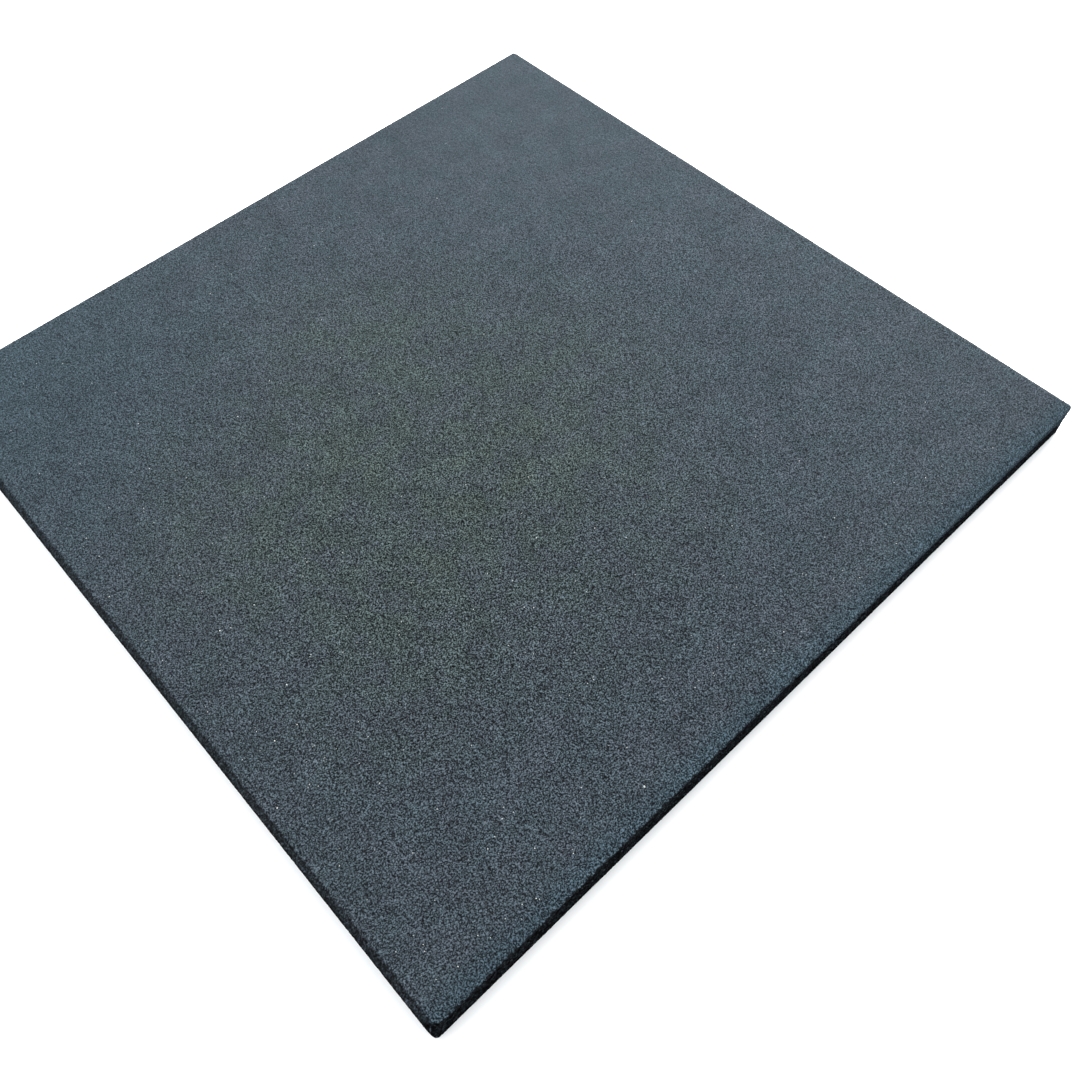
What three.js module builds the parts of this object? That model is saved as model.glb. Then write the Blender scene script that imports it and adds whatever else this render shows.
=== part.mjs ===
// A rubber floor tile: one moulded square slab of bonded crumb, with a bevel round its top edge.
//
// It lies flat. The origin is the middle of its underside, +Z is up, and its sides are square to X and Y.
// All sizes are in millimetres.

import * as THREE from 'three';
import { ConvexGeometry } from 'three/addons/geometries/ConvexGeometry.js';

// The tile's overall sizes
const tileSide = 500;
const tileThickness = 25;

// The bevel between the top face and the walls: its width in plan and its height
const bevelWidth = 4;
const bevelHeight = 3;

// The upright corners of the walls: their radius in plan, and the flats that stand for each quarter turn
const cornerRadius = 3;
const cornerFlats = 12;

const bloomedRubber = new THREE.MeshStandardMaterial({
  name: 'crumb_rubber',
  color: new THREE.Color().setRGB(0.3, 0.34, 0.37, THREE.SRGBColorSpace),
  roughness: 0.92,
  metalness: 0,
});

// The walls' outline in plan: a square about the origin whose corners are quarter circles
function wallOutline() {
  const straightEnd = tileSide / 2 - cornerRadius;
  const quarterTurn = Math.PI / 2;
  const outline = new THREE.Shape();
  outline.absarc(straightEnd, straightEnd, cornerRadius, 0, quarterTurn);
  outline.absarc(-straightEnd, straightEnd, cornerRadius, quarterTurn, 2 * quarterTurn);
  outline.absarc(-straightEnd, -straightEnd, cornerRadius, 2 * quarterTurn, 3 * quarterTurn);
  outline.absarc(straightEnd, -straightEnd, cornerRadius, 3 * quarterTurn, 4 * quarterTurn);
  // The curve sampler puts twice the number it is given on each arc
  return outline.getPoints(cornerFlats / 2);
}

// The flat top's outline in plan: a square, smaller than the walls' by the bevel all round
function topOutline() {
  const reach = tileSide / 2 - bevelWidth;
  return [
    new THREE.Vector2(reach, reach),
    new THREE.Vector2(-reach, reach),
    new THREE.Vector2(-reach, -reach),
    new THREE.Vector2(reach, -reach),
  ];
}

// An outline's points at one level
function atLevel(outline, level) {
  return outline.map((point) => new THREE.Vector3(point.x, point.y, level));
}

// The slab bulges everywhere, so it is the convex form round three outlines: the walls' at the underside and
// at the foot of the bevel, and the flat top's
function rubberTile() {
  const slab = new ConvexGeometry([
    ...atLevel(wallOutline(), 0),
    ...atLevel(wallOutline(), tileThickness - bevelHeight),
    ...atLevel(topOutline(), tileThickness),
  ]);
  const tile = new THREE.Mesh(slab, bloomedRubber);
  tile.name = 'rubber_tile';
  return tile;
}

const model = new THREE.Group();
model.add(rubberTile());

export default model;
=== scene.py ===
"""A rubber floor tile of bonded crumb, on a pale floor under soft studio light."""

import math

import bmesh
import bpy
import numpy as np
from mathutils import Matrix, Vector


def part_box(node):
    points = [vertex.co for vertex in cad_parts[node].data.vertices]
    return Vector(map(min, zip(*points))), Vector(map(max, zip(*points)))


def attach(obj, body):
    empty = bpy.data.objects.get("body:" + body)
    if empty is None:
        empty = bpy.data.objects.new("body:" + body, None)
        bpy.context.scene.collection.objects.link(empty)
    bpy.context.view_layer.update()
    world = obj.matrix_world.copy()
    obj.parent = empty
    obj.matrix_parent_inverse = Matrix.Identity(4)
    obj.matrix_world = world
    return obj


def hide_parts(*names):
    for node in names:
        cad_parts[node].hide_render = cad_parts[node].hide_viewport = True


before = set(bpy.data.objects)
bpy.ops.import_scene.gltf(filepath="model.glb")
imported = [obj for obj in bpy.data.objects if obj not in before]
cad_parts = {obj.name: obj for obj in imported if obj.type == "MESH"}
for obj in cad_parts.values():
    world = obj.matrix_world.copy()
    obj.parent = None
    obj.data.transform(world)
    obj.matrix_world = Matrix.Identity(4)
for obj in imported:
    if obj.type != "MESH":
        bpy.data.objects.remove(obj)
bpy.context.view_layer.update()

# The camera. It is held close above the tile's front corner and looks steeply down across it towards the
# far corner, turned a little about its own axis, so that the left corner runs out of the picture.

MM = 0.001

camera_place = Vector((-240.5 * MM, -330.0 * MM, 513.6 * MM))
camera_heading = math.radians(40.23)  # from +Y towards +X
camera_dip = math.radians(58.25)  # below the horizon
camera_roll = math.radians(-3.03)
camera_sensor = 36.0
camera_lens = 34.38
nearest_seen = 10 * MM

camera_data = bpy.data.cameras.new("camera")
camera_data.sensor_width = camera_sensor
camera_data.lens = camera_lens
camera_data.clip_start = nearest_seen
camera = bpy.data.objects.new("camera", camera_data)
camera_turn = (
    Matrix.Rotation(-camera_heading, 3, "Z")
    @ Matrix.Rotation(math.pi / 2 - camera_dip, 3, "X")
    @ Matrix.Rotation(camera_roll, 3, "Z")
)
camera.matrix_world = Matrix.Translation(camera_place) @ camera_turn.to_4x4()
bpy.context.scene.collection.objects.link(camera)
bpy.context.scene.camera = camera

# The mould. The crumb is pressed into a steel frame, so the finished tile is a square slab with upright
# walls, small round corners and a flat bevel round its top edge. Every crumb at the skin is flattened
# against the steel or lies a little under it.

tile_low, tile_high = (np.array(corner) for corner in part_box("rubber_tile"))
half_side = (tile_high[0] - tile_low[0]) / 2
thickness = tile_high[2] - tile_low[2]
bevel_width = 4 * MM
bevel_height = 3 * MM
corner_radius = 3 * MM
wall_height = thickness - bevel_height
bevel_slope = math.hypot(bevel_width, bevel_height)
core = half_side - corner_radius
hair = 1e-9  # keeps a division away from zero


def round_corners(x, y):
    """Bends a square plan into the outline: over a corner the square of steps p, q from 0 to 1 becomes a
    quarter disc, as p times the root of 1 - q squared / 2 and q times the root of 1 - p squared / 2."""
    p = np.clip((np.abs(x) - core) / corner_radius, 0, 1)
    q = np.clip((np.abs(y) - core) / corner_radius, 0, 1)
    x = np.sign(x) * (np.minimum(np.abs(x), core) + corner_radius * p * np.sqrt(1 - q**2 / 2))
    y = np.sign(y) * (np.minimum(np.abs(y), core) + corner_radius * q * np.sqrt(1 - p**2 / 2))
    return x, y


def press_into_mould(points, skin):
    """Moves points until each lies at least its skin inside the mould.

    The mould is a square with round corners: how far a point is outside it is the length of its offset
    beyond the square of the corners' centres, less the corner radius. A point that is too near a wall
    moves straight in. One that is too near the top or the bevel sinks: the bevel's level rises with the
    distance from the wall, and its skin is counted square to it."""
    x, y, z = np.moveaxis(points, -1, 0)
    over_x = np.abs(x) - core
    over_y = np.abs(y) - core
    beyond = np.hypot(np.maximum(over_x, 0), np.maximum(over_y, 0))
    inside = corner_radius - beyond - np.minimum(np.maximum(over_x, over_y), 0)
    short = np.maximum(skin - inside, 0)
    at_corner = (over_x > 0) & (over_y > 0)
    along_x = np.where(at_corner, over_x / np.maximum(beyond, hair), over_x >= over_y)
    along_y = np.where(at_corner, over_y / np.maximum(beyond, hair), over_x < over_y)
    x = x - np.sign(x) * along_x * short
    y = y - np.sign(y) * along_y * short
    inside = inside + short
    under_top = thickness - skin
    under_bevel = wall_height + (bevel_height * inside - bevel_slope * skin) / bevel_width
    z = np.clip(z, 0, np.minimum(under_top, under_bevel))
    return np.stack([x, y, z], axis=-1)


def add_piece(name, vertices, triangles, material, values, flat=False, places=None):
    """Makes a mesh piece of triangles, with one named number for each vertex in values. Flat says which
    triangles are shaded flat, and places is where the three corners of each lie on the piece's map."""
    mesh = bpy.data.meshes.new(name)
    mesh.vertices.add(len(vertices))
    mesh.vertices.foreach_set("co", vertices.ravel())
    mesh.loops.add(triangles.size)
    mesh.loops.foreach_set("vertex_index", triangles.ravel())
    mesh.polygons.add(len(triangles))
    mesh.polygons.foreach_set("loop_start", np.arange(0, triangles.size, 3))
    mesh.polygons.foreach_set("use_smooth", np.full(len(triangles), True) & ~np.array(flat))
    mesh.update(calc_edges=True)
    for value_name, numbers in values.items():
        mesh.attributes.new(value_name, "FLOAT", "POINT").data.foreach_set("value", numbers.ravel())
    if places is not None:
        mesh.uv_layers.new(name="OFBake").data.foreach_set("uv", places.ravel())
    mesh.materials.append(material)
    piece = bpy.data.objects.new(name, mesh)
    bpy.context.scene.collection.objects.link(piece)
    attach(piece, "root")
    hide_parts("rubber_tile")
    return piece


# Crumb rubber. It is shredded tyre, black right through, with resin between the crumbs. The skin that
# was pressed against the steel and handled since carries a slate-grey bloom, and the pores between the
# crumbs hold little of it; that they are so dark is also painted shade, for the shade that falls in
# them. From the middle to the front corner pores and crumbs differ most, and further off less and less.

black_rubber = (0.0012, 0.0014, 0.0018, 1)
warm_tint = (1.25, 1.0, 0.92, 1)
slate_bloom = (0.0860, 0.1180, 0.1450, 1)
violet_bloom = (0.0980, 0.1170, 0.1460, 1)
olive_bloom = (0.1010, 0.1370, 0.1300, 1)
teal_bloom = (0.0760, 0.1210, 0.1540, 1)
# The pores' share of the bloom is low partly as painted shade in them.
pore_bloom_and_shade = 0.02
torn_bloom = 0.08

# Where the bloom changes colour
cloud_size = 110 * MM
hue_size = 18 * MM
violet_noise = (0.4, 0.6)  # the hue noise's values where violet starts and where it is strongest
violet_most = 0.6
olive_place = (-60 * MM, -20 * MM, 0)
olive_reach = 180 * MM
olive_fade = (0.3 * olive_reach, 1.1 * olive_reach)
olive_ends = (1, 0.1)  # how olive it is within the fade and beyond it
cloud_noise = (0.35, 0.65)
cloud_olive = (0.6, 1.1)
hue_noise = (0.42, 0.58)
hue_olive = (1.1, 0.5)
teal_width = 14 * MM  # along the front right wall
teal_fade = (half_side - teal_width, half_side - 0.3 * teal_width)
teal_most = 0.8
teal_place = (-250 * MM, 250 * MM, 0)
teal_reach = 220 * MM

# The crumbs, the pores between them, and where the two differ most
crumb_wave = 0.70 * MM  # about half the way from pore to pore
crumb_detail = 1  # finer waves of the noise, which make some crumbs small
pore_bottom = 0.40  # the crumb noise's value at a pore's bottom
crumb_top = 0.58  # and from which the skin is closed
sharpest_place = (-90 * MM, -90 * MM, 0)
sharpest_near = 60 * MM
sharpest_far = 400 * MM
far_pore_contrast = 0.58
faintest_place = (250 * MM, 250 * MM, 0)  # the far corner, where the pores hardly show
faintest_near = 60 * MM
faintest_far = 260 * MM
corner_pore_contrast = 0.5
mean_cover = 0.62  # which the cover nears where pores and crumbs differ least
bloom_wave = 1.2 * crumb_wave
own_noise = (0.35, 0.65)
own_bloom = (0.10, 1)  # a crumb's own share of the bloom
mean_own_bloom = 0.575
tear_noise = (0.2, 0.8)
tear_shift = (-0.3, 0.3)  # how far the crumbs move the edge of a tear
tear_edge = (0.45, 0.55)

# What is larger and what is finer than a crumb
patch_size = 22 * MM
patch_bloom = (0.9, 1.1)
grain_size = 0.45 * MM
grain_bloom = (0.8, 1.2)
grain_roughness = (0.62, 0.86)
noise_middle = (0.3, 0.7)  # between which most of a noise's values lie
noise_turn = (0.6, 0.9, 0.4)
noise_shift = (0.37, 0.91, 0.53)  # to a stretch of the noise that is nothing like the first
crumb_relief = 0.35 * MM


def link(tree, output, node, name):
    """Joins an output to a node's input, given by its name or number."""
    tree.links.new(output, node.inputs[name])


def noise_node(tree, place, size, detail):
    """Noise on a place, with features about size metres apart. The place is turned first, since noise
    built on a square grid shows that grid where the tile lies along it."""
    turned = tree.nodes.new("ShaderNodeVectorRotate")
    turned.rotation_type = "EULER_XYZ"
    turned.inputs["Rotation"].default_value = noise_turn
    link(tree, place, turned, "Vector")
    node = tree.nodes.new("ShaderNodeTexNoise")
    node.inputs["Scale"].default_value = 1 / size
    node.inputs["Detail"].default_value = detail
    link(tree, turned.outputs["Vector"], node, "Vector")
    return node.outputs["Fac"]


def ranged(tree, value, low, high, to_low, to_high):
    """A value carried from low..high to to_low..to_high, and held at those ends."""
    node = tree.nodes.new("ShaderNodeMapRange")
    for name, number in zip(("From Min", "From Max", "To Min", "To Max"), (low, high, to_low, to_high)):
        node.inputs[name].default_value = number
    link(tree, value, node, "Value")
    return node.outputs["Result"]


def times(tree, one, other):
    """The product of two values."""
    node = tree.nodes.new("ShaderNodeMath")
    node.operation = "MULTIPLY"
    link(tree, one, node, 0)
    link(tree, other, node, 1)
    return node.outputs["Value"]


def plus(tree, one, other):
    """The sum of two values."""
    node = tree.nodes.new("ShaderNodeMath")
    link(tree, one, node, 0)
    link(tree, other, node, 1)
    return node.outputs["Value"]


def placed(tree, operation, place, other):
    """A place taken by a vector operation with a fixed other vector."""
    node = tree.nodes.new("ShaderNodeVectorMath")
    node.operation = operation
    node.inputs[1].default_value = other
    link(tree, place, node, 0)
    return node.outputs["Value" if operation in ("DISTANCE", "DOT_PRODUCT") else "Vector"]


def mixed(tree, share, one, other, kind="RGBA", blend="MIX"):
    """From one colour to another by share, or from value to value if the kind is FLOAT."""
    node = tree.nodes.new("ShaderNodeMix")
    node.data_type = kind
    node.blend_type = blend
    link(tree, share, node, 0)
    # The node's sockets for two colours and their result, or for two values and theirs
    first, result = (6, 2) if kind == "RGBA" else (2, 0)
    for number, given in ((first, one), (first + 1, other)):
        if isinstance(given, (tuple, float)):
            node.inputs[number].default_value = given
        else:
            link(tree, given, node, number)
    return node.outputs[result]


def number_of(tree, name):
    """The number that a mesh's vertices carry under a name, or 0 if it has none."""
    node = tree.nodes.new("ShaderNodeAttribute")
    node.attribute_name = name
    return node.outputs["Fac"]


def bloom_colour_at(tree, place, elsewhere):
    """The bloom's colour at a place, and elsewhere is that place in another stretch of the noise. It is
    slate, with violet patches a finger wide. About the middle a cloudy patch two hands wide is olive, and
    less so where it is violet. Towards the left corner and along the front right wall it is teal."""
    clouds = noise_node(tree, place, cloud_size, detail=2)
    hues = noise_node(tree, elsewhere, hue_size, detail=2)
    olive = ranged(tree, placed(tree, "DISTANCE", place, olive_place), *olive_fade, *olive_ends)
    olive = times(tree, olive, ranged(tree, clouds, *cloud_noise, *cloud_olive))
    olive = times(tree, olive, ranged(tree, hues, *hue_noise, *hue_olive))
    edge_teal = ranged(tree, placed(tree, "DOT_PRODUCT", place, (0, -1, 0)), *teal_fade, 0, teal_most)
    left_teal = ranged(tree, placed(tree, "DISTANCE", place, teal_place), 0, teal_reach, 1, 0)
    colour = mixed(tree, ranged(tree, hues, *violet_noise, 0, violet_most), slate_bloom, violet_bloom)
    colour = mixed(tree, left_teal, colour, teal_bloom)
    colour = mixed(tree, olive, colour, olive_bloom)
    return mixed(tree, edge_teal, colour, teal_bloom)


def pore_contrast_at(tree, place):
    """How much pores and crumbs differ at a place: less and less with the distance from where they
    differ most, and half of that again at the far corner."""
    from_sharpest = placed(tree, "DISTANCE", place, sharpest_place)
    from_faintest = placed(tree, "DISTANCE", place, faintest_place)
    contrast_so_far = ranged(tree, from_sharpest, sharpest_near, sharpest_far, 1, far_pore_contrast)
    return times(tree, contrast_so_far, ranged(tree, from_faintest, faintest_near, faintest_far, corner_pore_contrast, 1))


def crumb_grain_group():
    """The look of crumb skin as a group. Bloom is how much grey lies on a place, and Torn how far its skin
    is gone, whose edge follows the crumbs. Finger-wide patches thicken and thin the bloom, each crumb has
    its own share of it, and the pores have little, which also paints shade in them. Away from where pores
    and crumbs differ most, both differ less from their means. A grain finer than the crumbs roughens it
    all."""
    tree = bpy.data.node_groups.new("crumb_grain", "ShaderNodeTree")
    sockets = {
        "Place": ("INPUT", "NodeSocketVector"),
        "Bloom": ("INPUT", "NodeSocketFloat"),
        "Torn": ("INPUT", "NodeSocketFloat"),
        "Color": ("OUTPUT", "NodeSocketColor"),
        "Roughness": ("OUTPUT", "NodeSocketFloat"),
        "Height": ("OUTPUT", "NodeSocketFloat"),
    }
    for name, (side, kind) in sockets.items():
        tree.interface.new_socket(name, in_out=side, socket_type=kind)
    given = tree.nodes.new("NodeGroupInput")
    result = tree.nodes.new("NodeGroupOutput")
    place = given.outputs["Place"]
    elsewhere = placed(tree, "ADD", place, noise_shift)
    patches = noise_node(tree, place, patch_size, detail=3)
    pores = noise_node(tree, place, crumb_wave, crumb_detail)
    crumbs = noise_node(tree, elsewhere, bloom_wave, crumb_detail)
    grain = noise_node(tree, place, grain_size, detail=2)
    pore_contrast = pore_contrast_at(tree, place)
    cover = ranged(tree, pores, pore_bottom, crumb_top, 0, 1)
    cover = mixed(tree, pore_contrast, mean_cover, cover, "FLOAT")
    own = mixed(tree, pore_contrast, mean_own_bloom, ranged(tree, crumbs, *own_noise, *own_bloom), "FLOAT")
    patchy = ranged(tree, patches, *noise_middle, *patch_bloom)
    grainy = ranged(tree, grain, *noise_middle, *grain_bloom)
    share = times(tree, times(tree, given.outputs["Bloom"], own), times(tree, patchy, grainy))
    # The pores are painted dark: partly they hold little bloom, partly it is painted shade in them.
    share = times(tree, share, ranged(tree, cover, 0, 1, pore_bloom_and_shade, 1))
    torn = plus(tree, given.outputs["Torn"], ranged(tree, crumbs, *tear_noise, *tear_shift))
    share = times(tree, share, ranged(tree, torn, *tear_edge, 1, torn_bloom))
    bloom_colour = bloom_colour_at(tree, place, elsewhere)
    link(tree, mixed(tree, share, black_rubber, bloom_colour), result, "Color")
    link(tree, ranged(tree, grain, *noise_middle, *grain_roughness), result, "Roughness")
    link(tree, mixed(tree, grain, times(tree, cover, pore_contrast), 1.0, "FLOAT"), result, "Height")
    return tree


crumb_grain = crumb_grain_group()


def crumb_material(name, shine, flat):
    """Crumb rubber. Its mesh says how much bloom lies on it, how torn it is and how warm its black is. On
    a flat piece the pattern is that of the plan, whatever the level. The bump is finer than the mesh."""
    material = bpy.data.materials.new(name)
    material.use_nodes = True
    tree = material.node_tree
    shader = tree.nodes["Principled BSDF"]
    shader.inputs["Specular IOR Level"].default_value = shine
    grain = tree.nodes.new("ShaderNodeGroup")
    grain.node_tree = crumb_grain
    place = tree.nodes.new("ShaderNodeTexCoord").outputs["Object"]
    link(tree, placed(tree, "MULTIPLY", place, (1, 1, 0 if flat else 1)), grain, "Place")
    link(tree, number_of(tree, "bloom"), grain, "Bloom")
    link(tree, number_of(tree, "torn"), grain, "Torn")
    bump = tree.nodes.new("ShaderNodeBump")
    bump.inputs["Distance"].default_value = crumb_relief
    link(tree, grain.outputs["Height"], bump, "Height")
    warmth = number_of(tree, "warmth")
    tinted = mixed(tree, warmth, grain.outputs["Color"], warm_tint, blend="MULTIPLY")
    link(tree, tinted, shader, "Base Color")
    link(tree, grain.outputs["Roughness"], shader, "Roughness")
    link(tree, bump.outputs["Normal"], shader, "Normal")
    return material


crumb_skin = crumb_material("crumb_skin", shine=0.05, flat=True)
bare_crumb = crumb_material("bare_crumb", shine=0.0, flat=False)

# The bonded body. Under the skin of crumbs the slab is resin and small crumb grown together. It shows as
# the dark floor of the pits between the crumbs, and as the plain flat underside.

body_inset = 1.2 * MM
body_step = 10 * MM
body_bloom = 0.4


def rim_of(grid):
    """A grid's outer entries in order, anticlockwise from its first corner."""
    return np.concatenate([grid[0, :-1], grid[:-1, -1], grid[-1, :0:-1], grid[:0:-1, 0]])


def cell_triangles(a, b, c, d):
    """Two triangles for each four-cornered cell, with the corners anticlockwise as seen from outside."""
    lower = np.stack([a, b, c], axis=-1)
    upper = np.stack([a, c, d], axis=-1)
    return np.concatenate([lower.reshape(-1, 3), upper.reshape(-1, 3)])


def bonded_body():
    """The body as one closed block: a sheet over the tile's plan at the top, the same sheet turned over
    at the underside, and a wall round their rims. It stays an inset inside the mould, except below."""
    steps = np.linspace(-half_side, half_side, round(2 * half_side / body_step) + 1)
    y, x = np.meshgrid(steps, steps, indexing="ij")
    x, y = round_corners(x, y)
    top = press_into_mould(np.stack([x, y, 0 * x + thickness], axis=-1), body_inset)
    bottom = top * [1, 1, 0]
    at = np.arange(x.size).reshape(x.shape)
    rim = rim_of(at)
    after = np.roll(rim, -1)
    up = cell_triangles(at[:-1, :-1], at[:-1, 1:], at[1:, 1:], at[1:, :-1])
    walls = cell_triangles(rim + x.size, after + x.size, after, rim)
    triangles = np.concatenate([up, up[:, ::-1] + x.size, walls])
    return np.concatenate([top.reshape(-1, 3), bottom.reshape(-1, 3)]), triangles


body_points, body_triangles = bonded_body()
body_material = crumb_material("bonded_body", shine=0.10, flat=True)
body_values = {"bloom": np.full(len(body_points), body_bloom)}
add_piece("bonded_body", body_points, body_triangles, body_material, body_values, flat=True)

# The pressed skin. On the steel the crumb is flattened to a nearly closed skin, with pores less than a
# millimetre wide and deep where crumbs don't meet. It is a lattice of triangles, and it sinks where the
# crumb noise of its material is low. Every place is a little uneven.

lattice_pitch = 0.86 * MM
row_pitch = lattice_pitch * math.sqrt(3) / 2
row_shift = 0.25  # of the pitch, on and back by turns
lattice_scatter = 0.24  # of the pitch
pore_depth = 0.65 * MM
skin_roughness = 0.10 * MM

random = np.random.default_rng(822)


def noise_at(places, size, detail=0):
    """The noise of the materials with features of a size, at an array of places. A mesh of bare points
    carries them through the noise node, and the values are read back."""
    mesh = bpy.data.meshes.new("probe")
    mesh.vertices.add(places[..., 0].size)
    mesh.vertices.foreach_set("co", places.ravel())
    probe = bpy.data.objects.new("probe", mesh)
    bpy.context.scene.collection.objects.link(probe)
    tree = bpy.data.node_groups.new("probe", "GeometryNodeTree")
    tree.interface.new_socket("Points", in_out="INPUT", socket_type="NodeSocketGeometry")
    tree.interface.new_socket("Points", in_out="OUTPUT", socket_type="NodeSocketGeometry")
    place = tree.nodes.new("GeometryNodeInputPosition").outputs["Position"]
    store = tree.nodes.new("GeometryNodeStoreNamedAttribute")
    store.inputs["Name"].default_value = "noise"
    link(tree, tree.nodes.new("NodeGroupInput").outputs["Points"], store, "Geometry")
    link(tree, noise_node(tree, place, size, detail), store, "Value")
    link(tree, store.outputs["Geometry"], tree.nodes.new("NodeGroupOutput"), "Points")
    probe.modifiers.new("noise", "NODES").node_group = tree
    noise = np.empty(places[..., 0].size, np.float32)
    probed = probe.evaluated_get(bpy.context.evaluated_depsgraph_get())
    probed.data.attributes["noise"].data.foreach_get("value", noise)
    bpy.data.objects.remove(probe)
    bpy.data.meshes.remove(mesh)
    bpy.data.node_groups.remove(tree)
    return noise.reshape(places.shape[:-1])


def share_between(values, low, high):
    """How far values lie on the way from low, as 0, to high, as 1, and held at those ends."""
    return np.clip((values - low) / (high - low), 0, 1)


def crumb_cover(places):
    """How closed the skin is at places, from 0 where the crumb noise is a pore's to 1 where it is a
    crumb's."""
    return share_between(noise_at(places, crumb_wave, crumb_detail), pore_bottom, crumb_top)


def lattice(columns, rows, closed):
    """A triangular lattice as shares of its width and height. Every other row stands half a step on from
    the one before, and each place is scattered. The borders stay straight, and a closed one has no ends."""
    row, column = np.meshgrid(np.arange(rows), np.arange(columns), indexing="ij")
    scatter = lattice_scatter * random.uniform(-1, 1, (2, rows, columns))
    inner_row = (row > 0) & (row < rows - 1)
    inner = inner_row & (column > 0) & (column < columns - 1)
    shift = np.where(row % 2, row_shift, -row_shift)
    across = column + np.where(inner | closed, scatter[0] + shift, 0)
    up = row + np.where(inner_row, scatter[1], 0)
    return across / (columns if closed else columns - 1), up / (rows - 1)


def lattice_triangles(at):
    """Triangles between neighbours, for a grid of vertex numbers whose odd rows stand half a step on."""
    a, b, c, d = at[:-1, :-1], at[:-1, 1:], at[1:, 1:], at[1:, :-1]
    odd = np.arange(len(a))[:, None] % 2 == 1
    lower = np.stack([a, b, np.where(odd, c, d)], axis=-1)
    upper = np.stack([np.where(odd, a, b), c, d], axis=-1)
    return np.concatenate([lower.reshape(-1, 3), upper.reshape(-1, 3)])


# The wearing face and its bevel. They are one unbroken skin. Only for the size of a mesh is it four
# square slabs, whose edges meet crumb for crumb. The arris over the walls is torn and bare in a ragged
# line, and at the front corner it is broken away. Along the front right wall less of the arris is bare
# towards the right end, which is painted light where it turns to the light. The left bevel carries
# painted shade, and the front bevel painted light.

slab_foot = wall_height - 2 * MM  # the level of a slab's flat underside
slab_foot_inset = 0.01  # of the distance from the tile's middle
map_strip = 0.02  # of a slab's map, for the faces that don't show
strip_lines = (0.4, 0.8, 0)  # of the strip's width, where the foot's rim, the top's and the middle lie
arris_bare = (0.1 * MM, 1.3 * MM)  # how far in from the wall
arris_tear = 1.5 * MM  # along the wall, about half a tear
arris_noise = (0.35, 0.65)  # the tears' noise where they are least and most
arris_torn = 0.06 * MM  # how much deeper it lies where it is bare
painted_light_start = -200 * MM  # from there on along the front right wall light is painted: the arris is less and less bare, the wall greyer
arris_lit_share = 0.9  # at that wall's right end, as painted light
rim_closing = 2.5 * MM  # over which the pores get shallow towards the walls
rim_openness = 0.12  # the share of their depth that is left there
face_bloom_level = 0.83
left_bevel_shaded_bloom = (0.04, 0.56)  # low as painted shade, as that bevel faces away from the light; it goes from crumb to crumb
# Painted light: the front bevel is made lighter than the face, though less light falls on it.
front_bevel_lit_bloom = 1.0
broken_corner = 6.8 * MM  # how far back from the square corner, along both sides together
broken_raggedness = 1.2 * MM
broken_depth = 1.0 * MM


def faded(distance, reach):
    """1 up to half the reach, falling to 0 at one and a half times the reach."""
    return np.clip(1.5 - distance / reach, 0, 1)


def face_skin():
    """The whole face and bevel: points, cover, bloom and how torn it is, on one lattice. Its rows are a
    multiple of four and one more, so that both halves start and end on an even row."""
    side = 2 * half_side
    columns = round(side / lattice_pitch) + 1
    rows = 4 * round(side / row_pitch / 4) + 1
    across, up = lattice(columns, rows, closed=False)
    x, y = round_corners((across - 0.5) * side, (up - 0.5) * side)
    plan = np.stack([x, y, 0 * x], axis=-1)
    cover = crumb_cover(plan)
    tear = share_between(noise_at(plan, arris_tear), *arris_noise)
    short_of_corner = side + x + y - broken_corner
    ragged = random.uniform(-0.5, 0.5, x.shape)
    broken = np.clip(0.5 - (short_of_corner / broken_raggedness + ragged), 0, 1)
    over_x = np.maximum(np.abs(x) - core, 0)
    over_y = np.maximum(np.abs(y) - core, 0)
    from_wall = corner_radius - np.hypot(over_x, over_y)
    bare = faded(from_wall, arris_bare[0] + tear * (arris_bare[1] - arris_bare[0]))
    # Painted light: along the front right wall less of the arris is bare towards its right end.
    rightward = share_between(x, painted_light_start, half_side)
    bare = bare * np.where(y < bevel_width - half_side, 1 - arris_lit_share * rightward, 1)
    open_share = rim_openness + (1 - rim_openness) * np.clip(from_wall / rim_closing, 0, 1)
    depth = (1 - cover) * pore_depth * open_share + random.uniform(0, skin_roughness, x.shape)
    depth = depth + bare * arris_torn + broken * broken_depth
    points = press_into_mould(np.stack([x, y, 0 * x + thickness], axis=-1), depth)
    # Painted shade: the left bevel gets little bloom, as it faces away from the light.
    left_shaded_bloom = random.uniform(*left_bevel_shaded_bloom, x.shape)
    bloom = np.where(x < bevel_width - half_side, left_shaded_bloom, face_bloom_level)
    # Painted light: the front bevel gets more bloom than the face, though less light falls on it.
    bloom = np.where((y < bevel_width - half_side) & (y < x), front_bevel_lit_bloom, bloom)
    return points, cover, bloom, np.maximum(bare, broken)


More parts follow.
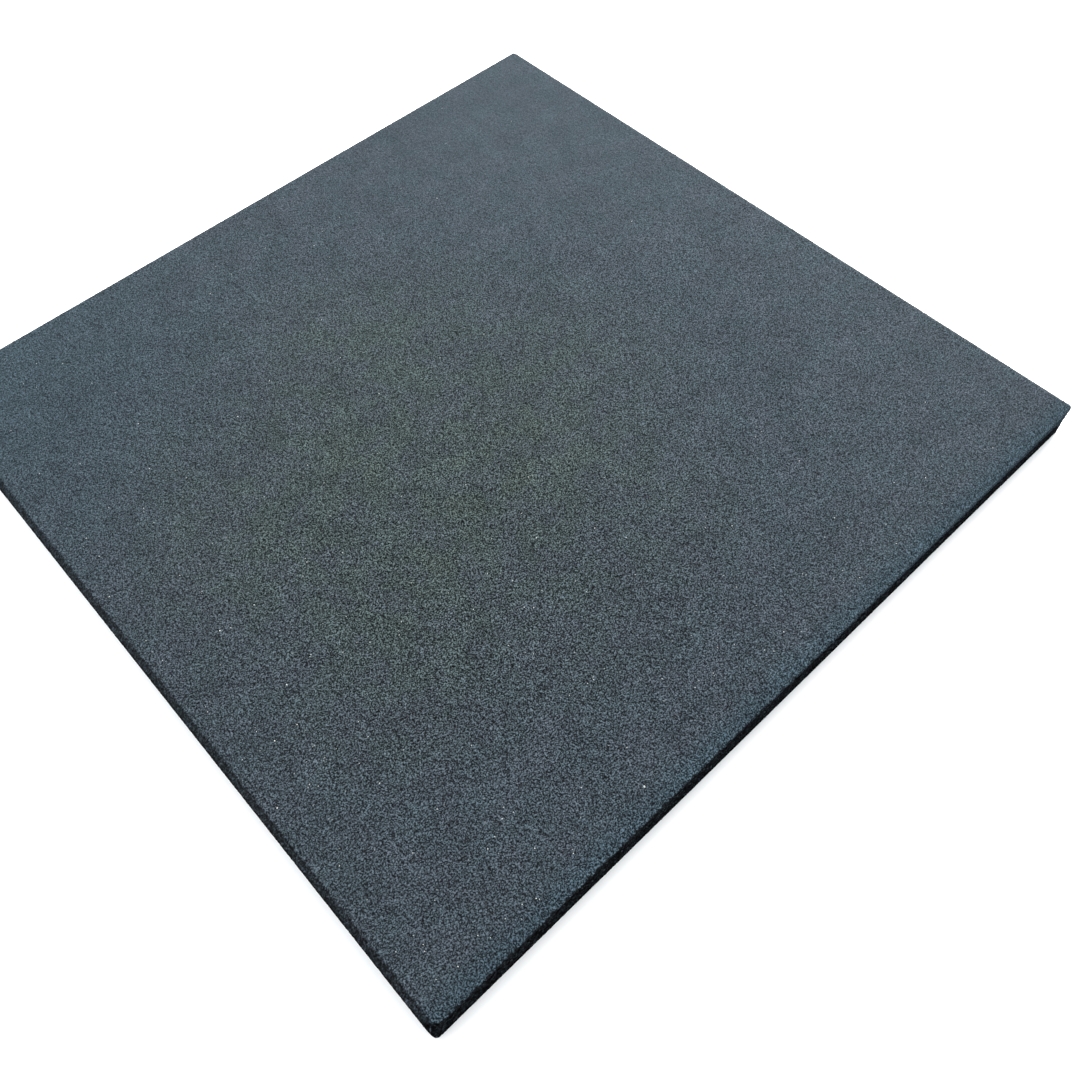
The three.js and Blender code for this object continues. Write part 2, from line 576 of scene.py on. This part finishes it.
def closed_slab(sheet):
    """A sheet of points made a closed slab: its rim goes down and a little in to a flat foot. Its map is
    the sheet's plan, beside a strip for the sides and the foot, whose triangles stand one over another.
    Besides the vertices, the triangles and their map it tells which of them don't show."""
    at = np.arange(sheet[..., 0].size).reshape(sheet.shape[:2])
    rim = rim_of(at)
    after = np.roll(np.arange(len(rim)), -1)
    points = sheet.reshape(-1, 3)
    foot = points[rim] * [1 - slab_foot_inset, 1 - slab_foot_inset, 0] + [0, 0, slab_foot]
    foot_at = len(points) + np.arange(len(rim))
    middle_at = np.full(len(rim), len(points) + len(rim))
    sides = cell_triangles(foot_at, foot_at[after], rim[after], rim)
    base = np.stack([foot_at[after], foot_at, middle_at], axis=-1)
    vertices = np.concatenate([points, foot, foot.mean(axis=0)[None]])
    low, high = points[:, :2].min(axis=0), points[:, :2].max(axis=0)
    plan = [map_strip, 0] + (points[:, :2] - low) / (high - low) * [1 - map_strip, 1]
    up = np.linspace(0, 1, len(rim) + 1)
    strip = np.concatenate([np.stack([0 * up + line * map_strip, up], axis=-1) for line in strip_lines])
    foot_at, rim_at, middle_at = np.arange(3 * len(up)).reshape(3, -1)
    strip_sides = cell_triangles(foot_at[:-1], foot_at[1:], rim_at[1:], rim_at[:-1])
    strip_base = np.stack([foot_at[1:], foot_at[:-1], middle_at[:-1]], axis=-1)
    top = lattice_triangles(at)
    triangles = np.concatenate([top, sides, base])
    places = np.concatenate([plan[top], strip[strip_sides], strip[strip_base]])
    return vertices, triangles, np.arange(len(triangles)) >= len(top), places


face_points, face_cover, face_bloom, face_torn = face_skin()
middle_row, middle_column = (count // 2 for count in face_bloom.shape)
halves = {
    "front": slice(0, middle_row + 1),
    "back": slice(middle_row, None),
}
sides = {
    "left": slice(0, middle_column + 1),
    "right": slice(middle_column, None),
}
for half_name, rows in halves.items():
    for side_name, columns in sides.items():
        vertices, triangles, hidden, places = closed_slab(face_points[rows, columns])
        values = {}
        for value_name, numbers in (("bloom", face_bloom), ("torn", face_torn)):
            numbers = numbers[rows, columns].ravel()
            values[value_name] = np.pad(numbers, (0, len(vertices) - len(numbers)))
        name = "face_" + half_name + "_" + side_name
        add_piece(name, vertices, triangles, crumb_skin, values, hidden, places)

# Pale flecks. Chips of pale fibre and stone came in with the shredded tyre. Some four hundred lie at
# the face, most of them towards the front corner, flush with the crumb round them. They are a half to
# nine tenths of a millimetre across. One is larger.

fleck_count = 420
fleck_radius = (0.24 * MM, 0.44 * MM)
fleck_thickness = 0.5  # of its width
fleck_breadth = 0.7  # of its length
fleck_dent = 0.75  # the least share of the radius that a place stands out
fleck_margin = 8 * MM
fleck_cover = 0.97  # how closed the skin is under one
front_gather = 0.9  # how fast they get fewer from the front corner to the far one
front_gather_ends = (0.3, 1)  # the least and the most of a spot's chance, before it is squared
fleck_brightness = (1.9, 1.9)  # the beta draw's two numbers: most are half bright, few dark or bright
large_fleck = (-104 * MM, -237 * MM)
large_fleck_radius = 0.75 * MM
large_fleck_brightness = 0.5
dull_fleck = (0.02, 0.025, 0.03, 1)
bright_fleck = (0.75, 0.76, 0.72, 1)
fleck_shine = 0.3
fleck_grain = 0.3 * MM
fleck_dirt = (0.6, 1)
fleck_roughness = (0.45, 0.75)
fleck_relief = 0.08 * MM


def fleck_material():
    """Pale chips, each as bright as its mesh says, with a dirty grain."""
    material = bpy.data.materials.new("pale_fleck")
    material.use_nodes = True
    tree = material.node_tree
    shader = tree.nodes["Principled BSDF"]
    shader.inputs["Specular IOR Level"].default_value = fleck_shine
    place = tree.nodes.new("ShaderNodeTexCoord").outputs["Object"]
    grain = noise_node(tree, place, fleck_grain, detail=2)
    dirt = ranged(tree, grain, *noise_middle, *fleck_dirt)
    share = times(tree, number_of(tree, "brightness"), dirt)
    link(tree, mixed(tree, share, dull_fleck, bright_fleck), shader, "Base Color")
    link(tree, ranged(tree, grain, *noise_middle, *fleck_roughness), shader, "Roughness")
    bump = tree.nodes.new("ShaderNodeBump")
    bump.inputs["Distance"].default_value = fleck_relief
    link(tree, grain, bump, "Height")
    link(tree, bump.outputs["Normal"], shader, "Normal")
    return material


def pale_flecks():
    """The flecks as one mesh. Each is a ball whose points are pushed in and out at random, squashed and
    turned about its own upright, and stands on a spot of the face where the skin is closed."""
    ball = bmesh.new()
    bmesh.ops.create_icosphere(ball, subdivisions=2, radius=1)
    shape = np.array([vertex.co for vertex in ball.verts])
    faces = np.array([[vertex.index for vertex in face.verts] for face in ball.faces])
    ball.free()
    clear_of_edge = np.abs(face_points[..., :2]).max(axis=-1) < half_side - fleck_margin
    spots = face_points[(face_cover > fleck_cover) & clear_of_edge]
    rearward = spots[:, :2].sum(axis=1)
    frontness = np.clip(0.5 - front_gather * rearward / (2 * half_side), *front_gather_ends) ** 2
    chosen = spots[random.choice(len(spots), fleck_count, replace=False, p=frontness / frontness.sum())]
    radius = random.uniform(*fleck_radius, fleck_count)
    chosen[0, :2] = large_fleck
    radius[0] = large_fleck_radius
    angle = random.uniform(0, 2 * math.pi, (fleck_count, 1))
    own = shape * random.uniform(fleck_dent, 1, (fleck_count, len(shape), 1)) * radius[:, None, None]
    x = own[..., 0] * np.cos(angle) - fleck_breadth * own[..., 1] * np.sin(angle)
    y = own[..., 0] * np.sin(angle) + fleck_breadth * own[..., 1] * np.cos(angle)
    z = fleck_thickness * (own[..., 2] - radius[:, None])
    points = np.stack([x + chosen[:, :1], y + chosen[:, 1:2], z + thickness], axis=-1)
    triangles = faces + len(shape) * np.arange(fleck_count)[:, None, None]
    brightness = random.beta(*fleck_brightness, fleck_count)
    brightness[0] = large_fleck_brightness
    brightness = np.repeat(brightness, len(shape))
    return points.reshape(-1, 3), triangles.reshape(-1, 3), brightness


fleck_points, fleck_triangles, brightness = pale_flecks()
fleck_values = {"brightness": brightness}
add_piece("pale_flecks", fleck_points, fleck_triangles, fleck_material(), fleck_values)

# The walls. The same crumb lay against the mould's sides. There it kept hardly any bloom, and it is
# painted darker still, as painted shade on the upright walls: black with dull brownish lumps and a few
# greyer crumbs. Along the front right wall the face's grey is painted down a little way, more and more
# to the right, and most at the corner: painted light where that wall turns to the light.

wall_bloom_and_shade = (0.01, 0.60)  # the barest crumb and the greyest; the barest level is partly painted shade
bareness = 9  # the power that leaves few crumbs grey
lump_wave = 2.2 * MM
lump_noise = (0.54, 0.62)
lump_bloom = 0.16  # added where several crumbs together kept more
wall_foot = 2 * MM  # over which the pores get shallow towards the underside
# The painted light on the front right wall, where it turns to the light:
painted_light_fall = 10 * MM  # how far down the painted light comes at the right end
painted_light_corner_fall = 9 * MM  # and how much further at the corner
painted_light_corner = 8 * MM
painted_light_raggedness = 4 * MM
painted_light_bloom = 0.6
wall_skin_back = 2.4 * MM  # how far inside the outline the ring's back is
map_rows = 8  # the ring is cut into so many lengths, laid one over another on its map
map_margin = 0.2  # of a row's height, free above and below it


def wall_places(across, up, depth):
    """Places on the walls at shares of their length and height, sunk by a depth. Each quarter of the
    length is a straight and then a round corner, and is turned a quarter turn from the one before."""
    straight = 2 * core
    quarter, along = np.divmod(across % 1 * 4, 1)
    along = along * (straight + corner_radius * math.pi / 2)
    angle = np.maximum(along - straight, 0) / corner_radius
    x = core + (corner_radius - depth) * np.cos(angle)
    y = np.minimum(along, straight) - core + (corner_radius - depth) * np.sin(angle)
    turn = quarter * math.pi / 2
    return np.stack(
        [x * np.cos(turn) - y * np.sin(turn), x * np.sin(turn) + y * np.cos(turn), up * wall_height],
        axis=-1,
    )


def wall_skin():
    """The walls as one closed ring on a lattice that runs round the outline, with a row added below and
    above that stands inside, where the ring's back is."""
    outline = 4 * (2 * core + corner_radius * math.pi / 2)
    columns = round(outline / lattice_pitch)
    rows = 2 * round(wall_height / row_pitch / 2)
    across, up = lattice(columns, rows, closed=True)
    cover = crumb_cover(wall_places(across, up, 0))
    open_share = rim_openness + (1 - rim_openness) * np.clip(up * wall_height / wall_foot, 0, 1)
    depth = (1 - cover) * pore_depth * open_share + random.uniform(0, skin_roughness, cover.shape)
    depth = np.pad(depth, ((1, 1), (0, 0)), constant_values=wall_skin_back)
    across, up = (np.pad(shares, ((1, 1), (0, 0)), mode="edge") for shares in (across, up))
    return wall_places(across, up, depth)


def ring_of(rows, columns):
    """Triangles of a closed ring of lattice rows, the last of which joins the first. It also tells which
    of them are at the back, and where their corners lie on the map. For that a second grid of numbers,
    which doesn't close, says how far along and how high up each corner is. Odd rows stand half a step on,
    and a triangle may reach one step past its length."""
    closed = np.pad(np.arange(rows * columns).reshape(rows, columns), ((0, 1), (0, 1)), mode="wrap")
    contrast_so_far = lattice_triangles(np.arange(closed.size).reshape(closed.shape))
    up, across = np.divmod(contrast_so_far, columns + 1)
    length = math.ceil((columns + 1) / map_rows)
    map_row = across.min(axis=1, keepdims=True) // length
    u = (across - length * map_row + 0.5 * (up % 2)) / (length + 1.5)
    v = (map_row + (up + map_margin) / (rows + 2 * map_margin)) / map_rows
    behind = (up.min(axis=1) < 1) | (up.max(axis=1) > rows - 2)
    return lattice_triangles(closed), behind, np.stack([u, v], axis=-1)


def wall_looks(points):
    """The bloom, tear and warmth of the walls' points. Above the line down to which light is painted they
    have the face's bloom, and their warmth goes. Near the line they are torn, so that the crumbs break it.
    Elsewhere their low bloom is partly painted shade."""
    x, y, z = points.T
    rightward = share_between(x, painted_light_start, half_side) * (y < -core)
    from_corner = np.hypot(x - half_side, y + half_side)
    fall = painted_light_fall * rightward + painted_light_corner_fall * faded(from_corner, painted_light_corner)
    painted_lit = np.clip((fall - wall_height + z) / painted_light_raggedness, 0, 1)
    greyest = random.uniform(0, 1, len(points)) ** bareness
    lumps = share_between(noise_at(points, lump_wave), *lump_noise)
    bloom = wall_bloom_and_shade[0] + (wall_bloom_and_shade[1] - wall_bloom_and_shade[0]) * greyest + lump_bloom * lumps
    return {
        "bloom": np.where(painted_lit > 0, painted_light_bloom, bloom),
        "torn": np.where(painted_lit > 0, 1 - painted_lit, 0),
        "warmth": 1 - painted_lit,
    }


wall_points = wall_skin()
wall_triangles, behind, wall_map = ring_of(*wall_points.shape[:2])
wall_points = wall_points.reshape(-1, 3)
wall_values = wall_looks(wall_points)
add_piece("walls", wall_points, wall_triangles, bare_crumb, wall_values, behind, wall_map)

# The floor. A plain pale sheet, much larger than the tile, lies at the level of the tile's underside.
# Under the studio light it is white but for a thin soft shadow along the tile.

floor_reach = 6.0
floor_white = (0.90, 0.90, 0.90, 1)
floor_roughness = 0.9
floor_shine = 0.1

floor_mesh = bpy.data.meshes.new("floor")
corners = [(-1, -1), (1, -1), (1, 1), (-1, 1)]
floor_corners = [(floor_reach * x, floor_reach * y, 0) for x, y in corners]
floor_mesh.from_pydata(floor_corners, [], [(0, 1, 2, 3)])
floor = bpy.data.objects.new("floor", floor_mesh)
bpy.context.scene.collection.objects.link(floor)
floor_paint = bpy.data.materials.new("pale_floor")
floor_paint.use_nodes = True
floor_shader = floor_paint.node_tree.nodes["Principled BSDF"]
floor_shader.inputs["Base Color"].default_value = floor_white
floor_shader.inputs["Roughness"].default_value = floor_roughness
floor_shader.inputs["Specular IOR Level"].default_value = floor_shine
floor_mesh.materials.append(floor_paint)

# The studio light. A large soft box hangs beyond the tile's far right edge and a weaker one beyond its
# far left edge, and a pale dome fills in from all round.

dome_white = (0.95, 0.98, 1.0, 1)
dome_strength = 1.6


def soft_box(name, place, aim, size, watts, colour):
    """A square area light at a place, turned to face the aim."""
    data = bpy.data.lights.new(name, "AREA")
    data.shape = "SQUARE"
    data.size = size
    data.energy = watts
    data.color = colour
    box = bpy.data.objects.new(name, data)
    turn = (aim - place).to_track_quat("-Z", "Y").to_matrix()
    box.matrix_world = Matrix.Translation(place) @ turn.to_4x4()
    bpy.context.scene.collection.objects.link(box)


tile_middle = Vector((0, 0, thickness))
key_place = Vector((0.78, 0.18, 0.90))
far_place = Vector((-0.15, 1.00, 1.00))
soft_box("key_box", key_place, tile_middle, size=0.8, watts=29, colour=(1.0, 0.99, 0.97))
soft_box("far_box", far_place, tile_middle, size=0.9, watts=15, colour=(0.97, 0.99, 1.0))

dome = bpy.data.worlds.new("dome")
dome.use_nodes = True
background = dome.node_tree.nodes["Background"]
background.inputs["Color"].default_value = dome_white
background.inputs["Strength"].default_value = dome_strength
bpy.context.scene.world = dome
bpy.context.scene.view_settings.view_transform = "Standard"
